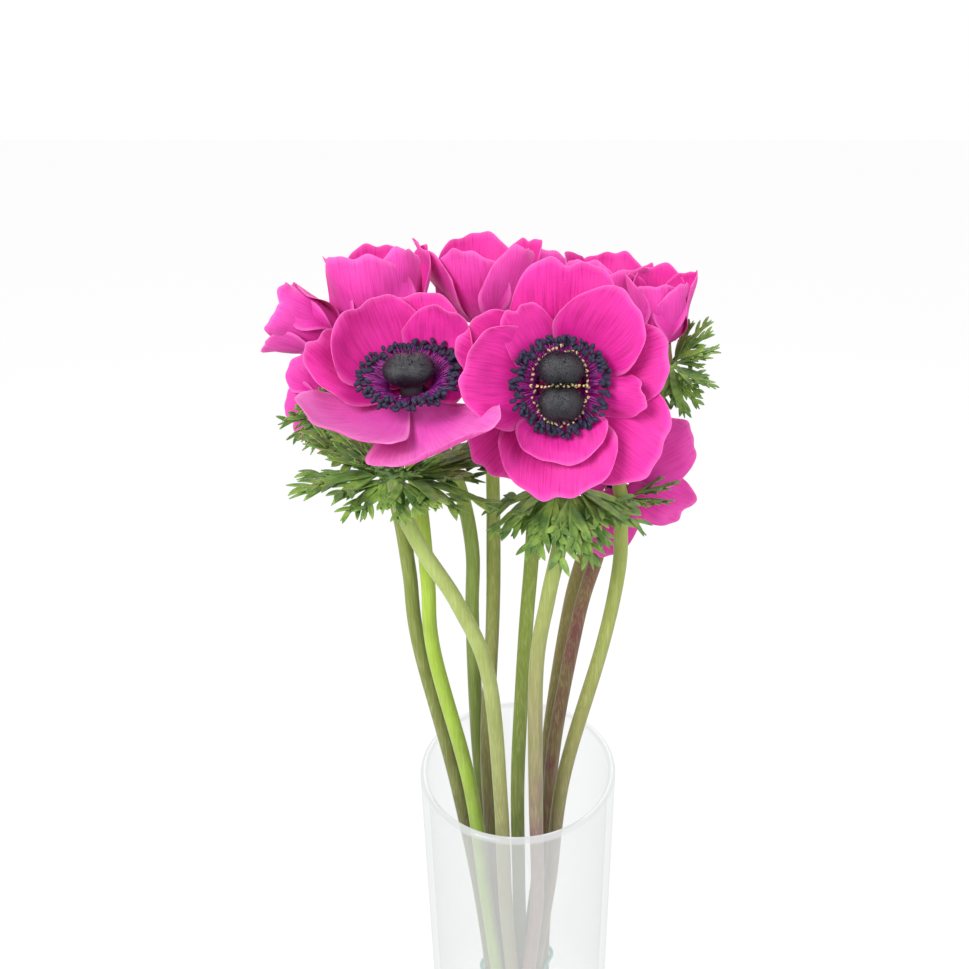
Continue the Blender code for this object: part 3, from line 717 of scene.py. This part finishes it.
def build_stem(name):
    """A stalk whose thickness swells and shrinks a little along it."""
    line = stem_points(name, FINE_ROUTE)
    lengths = running_lengths(line)
    radii = []
    for point, length in zip(line, lengths):
        swell = noise.noise(point * 0.02 + Vector((len(name), 0, 0)))
        radii.append(stem_radius(length / lengths[-1]) * (1 + 0.05 * swell))
    shape = Shape()
    shape.tube(line, radii, 20)
    shape.piece("stem_" + name, [stem_material("stalk_" + name, *STEM_COLORS[name])], "stem")


def build_vase():
    """The glass cylinder, with a rounded rim and a heavy base."""
    outer, inner, edge, arc = VASE_RADIUS, VASE_RADIUS - VASE_WALL, VASE_WALL / 2, 8
    profile = [(0.01, 0), (outer - 2, 0), (outer - 0.6, 0.6), (outer, 2)]
    profile += [(outer, VASE_HEIGHT * k / 12) for k in range(1, 12)]
    for k in range(arc + 1):
        a = math.pi * k / arc
        profile.append((outer - edge + edge * math.cos(a), VASE_HEIGHT - edge + edge * math.sin(a)))
    profile += [(inner, VASE_HEIGHT * k / 12) for k in range(11, 1, -1)]
    profile += [(inner, VASE_BASE + 5), (inner - 1.5, VASE_BASE + 1.5), (inner - 5, VASE_BASE)]
    profile.append((0.01, VASE_BASE))
    shape, around = Shape(), 128
    rows = [[Vector((r * math.cos(math.tau * i / around), r * math.sin(math.tau * i / around), z))
             for i in range(around)] for r, z in profile]
    shape.grid(rows, around=True)
    shape.piece("glass_vase", [GLASS], "vase")


def build_band():
    """The rubber band, pulled straight between the outermost stems."""
    stems = [Vector((*route[0][:2], 0)) for route, _, _ in STEMS.values()]
    reach, line, steps = STEM_RADIUS + BAND_GAP + BAND_THICKNESS / 2, [], 96
    for k in range(steps + 1):
        a = math.tau * k / steps
        away = Vector((math.cos(a), math.sin(a), 0))
        outermost = max(stems, key=lambda stem: stem.dot(away))
        line.append(outermost + reach * away + Vector((0, 0, BAND_HEIGHT)))
    shape = Shape()
    shape.tube(line, [BAND_THICKNESS / 2] * (steps + 1), 12)
    shape.piece("rubber_band", [RUBBER], "band")


def seen_directly(tree):
    """1 for camera, glossy and transmission rays, and 0 for the rays that light the object."""
    rays = add_node(tree, "ShaderNodeLightPath").outputs
    seen = add_node(tree, "ShaderNodeMath", {0: rays["Is Camera Ray"], 1: rays["Is Glossy Ray"]},
                    operation="MAXIMUM").outputs[0]
    return add_node(tree, "ShaderNodeMath", {0: seen, 1: rays["Is Transmission Ray"]},
                    operation="MAXIMUM").outputs[0]


def build_floor():
    """A flat white floor that keeps a faint shadow."""
    mesh = bpy.data.meshes.new("floor")
    corners = [(x * FLOOR_REACH, y * FLOOR_REACH, 0) for x, y in ((-1, -1), (1, -1), (1, 1), (-1, 1))]
    mesh.from_pydata(corners, [], [(0, 1, 2, 3)])
    floor = bpy.data.objects.new("floor", mesh)
    bpy.context.scene.collection.objects.link(floor)
    made, tree, output = new_material("white_card")
    paint = add_node(tree, "ShaderNodeBsdfDiffuse", {"Color": (0.88, 0.88, 0.88, 1)})
    glow = add_node(tree, "ShaderNodeEmission", {"Color": (1, 1, 1, 1), "Strength": 1.0})
    share = add_node(tree, "ShaderNodeMath", {0: seen_directly(tree), 1: FLOOR_WHITE},
                     operation="MULTIPLY").outputs[0]
    mixed = add_node(tree, "ShaderNodeMixShader", {0: share, 1: paint.outputs[0], 2: glow.outputs[0]})
    tree.links.new(mixed.outputs[0], output.inputs["Surface"])
    mesh.materials.append(made)


def build_sky():
    """An even world that is plain white where it is seen."""
    world = bpy.data.worlds.new("studio")
    bpy.context.scene.world = world
    world.use_nodes = True
    tree = world.node_tree
    strength = add_node(tree, "ShaderNodeMapRange", {0: seen_directly(tree), 3: SKY_LIGHT, 4: 1.0}).outputs[0]
    tree.nodes["Background"].inputs["Color"].default_value = (1, 1, 1, 1)
    tree.links.new(strength, tree.nodes["Background"].inputs["Strength"])


def build_lamps():
    """Three soft square lamps, aimed at the flowers."""
    for name, (spot, size, power) in LAMPS.items():
        light = bpy.data.lights.new(name, "AREA")
        light.size = size
        light.energy = power
        lamp = bpy.data.objects.new(name, light)
        lamp.location = spot
        lamp.rotation_euler = (Vector(LAMP_TARGET) - Vector(spot)).to_track_quat("-Z", "Y").to_euler()
        bpy.context.scene.collection.objects.link(lamp)


def build_camera():
    """The camera in front, looking down on the flowers."""
    scene = bpy.context.scene
    camera = bpy.data.cameras.new("camera")
    camera.sensor_width = CAMERA_SENSOR
    camera.lens = CAMERA_LENS
    camera.shift_x = CAMERA_SHIFT
    camera.clip_start = 0.01
    eye = bpy.data.objects.new("camera", camera)
    eye.location = CAMERA_PLACE
    eye.rotation_euler = (math.radians(CAMERA_PITCH), 0, 0)
    scene.collection.objects.link(eye)
    scene.camera = eye
    scene.view_settings.view_transform = "Standard"


build_vase()
build_band()
for flower in STEMS:
    build_stem(flower)
    build_collar(flower)
for flower, shapes in COROLLAS.items():
    build_corolla(flower, shapes)
    build_centre(flower, CENTRE_RADIUS[flower])
for flower, whorls in TEPALS.items():
    build_tepals(flower, whorls)
for flower, (domes, stamen_count, stamen_reach) in OPEN_CENTRES.items():
    build_open_centre(flower, domes, stamen_count, stamen_reach)
build_floor()
build_sky()
build_lamps()
build_camera()
